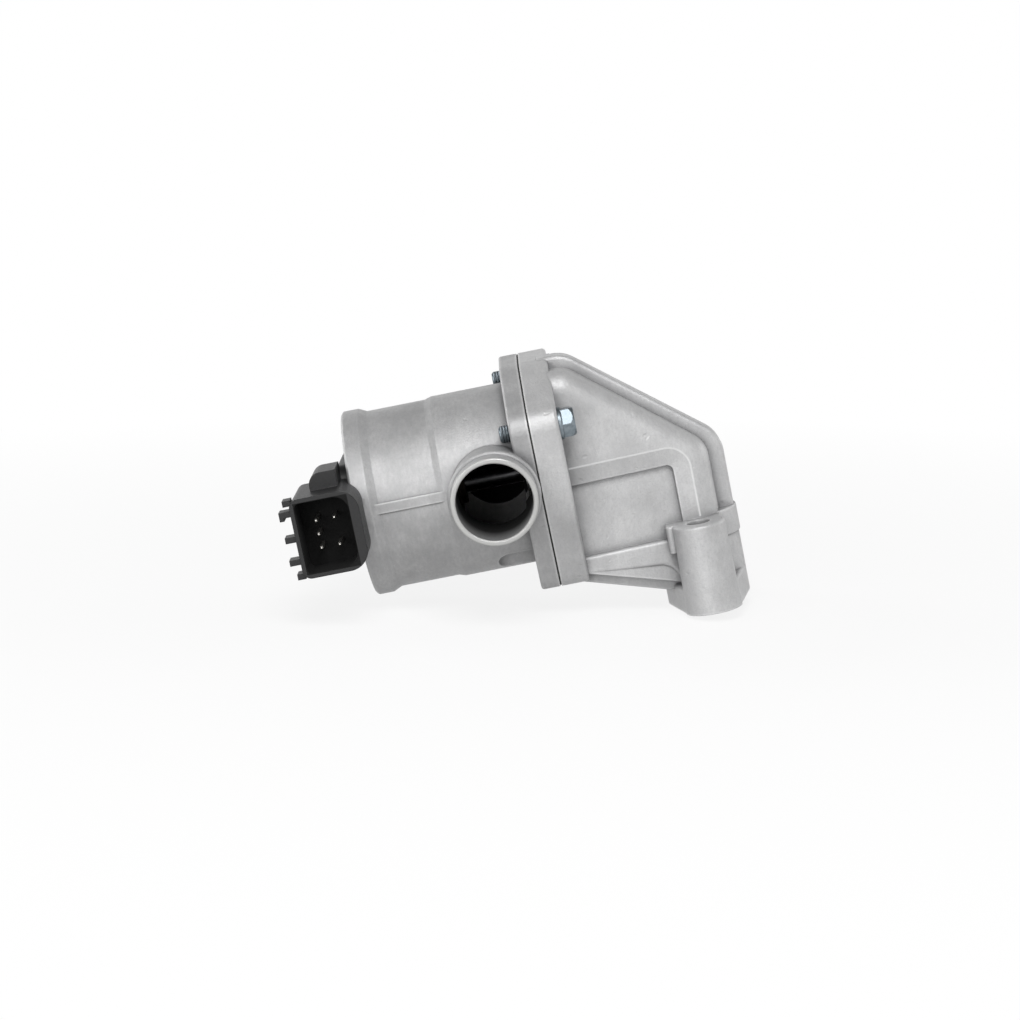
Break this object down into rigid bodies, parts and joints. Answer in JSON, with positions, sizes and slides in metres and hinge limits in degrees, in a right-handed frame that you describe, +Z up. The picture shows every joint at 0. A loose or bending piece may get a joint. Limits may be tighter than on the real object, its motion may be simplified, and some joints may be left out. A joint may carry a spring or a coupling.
{
  "type": "secondary air injection solenoid valve",
  "caption": "Solenoid air valve: barrel with hose pipe and plug socket, flange-bolted to a sloping hood that holds a reed valve and a bolt-on outlet port.",
  "frame": {"origin": "centre of the outlet port on its sealing face", "axes": "+X along the body axis from the plug end to the outlet, +Y away from the mouth of the hose pipe, +Z up, away from the outlet's sealing face"},
  "size_m": [0.1302, 0.0824, 0.0814],
  "materials": {
    "body_casting": "satin cast",
    "cover_casting": "satin cast",
    "gasket_sheet": "matt",
    "zinc_screw": "bright zinc plated",
    "cap_plastic": "fine grained",
    "lid_plastic": "fine grained",
    "pin_tin": "tin plated",
    "seal_rubber": "matt",
    "poppet_rubber": "matt",
    "board_laminate": "lacquered",
    "sensor_case": "moulded",
    "bobbin_plastic": "moulded",
    "copper_wire": "enamelled copper",
    "soft_iron": "plated",
    "steel_shaft": "ground",
    "poppet_metal": "turned",
    "bush_brass": "turned",
    "spring_steel": "bright drawn",
    "seat_metal": "turned",
    "reed_plate_metal": "milled",
    "reed_steel": "polished strip"
  },
  "bodies": {
    "housing": {"valve_body": "body_casting", "outlet_cover": "cover_casting", "flange_gasket": "gasket_sheet", "flange_screws": "zinc_screw", "connector_cap": "cap_plastic", "connector_lid": "lid_plastic", "terminal_pins": "pin_tin", "cap_seal": "seal_rubber", "shaft_seal": "seal_rubber", "plunger_bumper": "seal_rubber", "reed_seal": "seal_rubber", "sensor_board": "board_laminate", "pressure_sensor": "sensor_case", "coil_bobbin": "bobbin_plastic", "coil_winding": "copper_wire", "solenoid_yoke": "soft_iron", "yoke_washer": "soft_iron", "fixed_core": "soft_iron", "guide_bush": "bush_brass", "return_spring": "spring_steel", "valve_seat": "seat_metal", "reed_plate": "reed_plate_metal", "reed_leaves": "reed_steel", "reed_stoppers": "reed_steel", "reed_screws": "reed_steel"},
    "valve": {"plunger": "soft_iron", "valve_shaft": "steel_shaft", "poppet_disc": "poppet_metal", "poppet_seal": "poppet_rubber", "poppet_clip": "steel_shaft"}
  },
  "joints": [
    {"name": "valve_slide", "type": "slide", "parent": "housing", "child": "valve", "axis": [1, 0, 0], "range_m": [0, 0.005], "stiffness_N_per_m": 1500, "springref_m": -0.004, "deforming": ["return_spring"]}
  ]
}
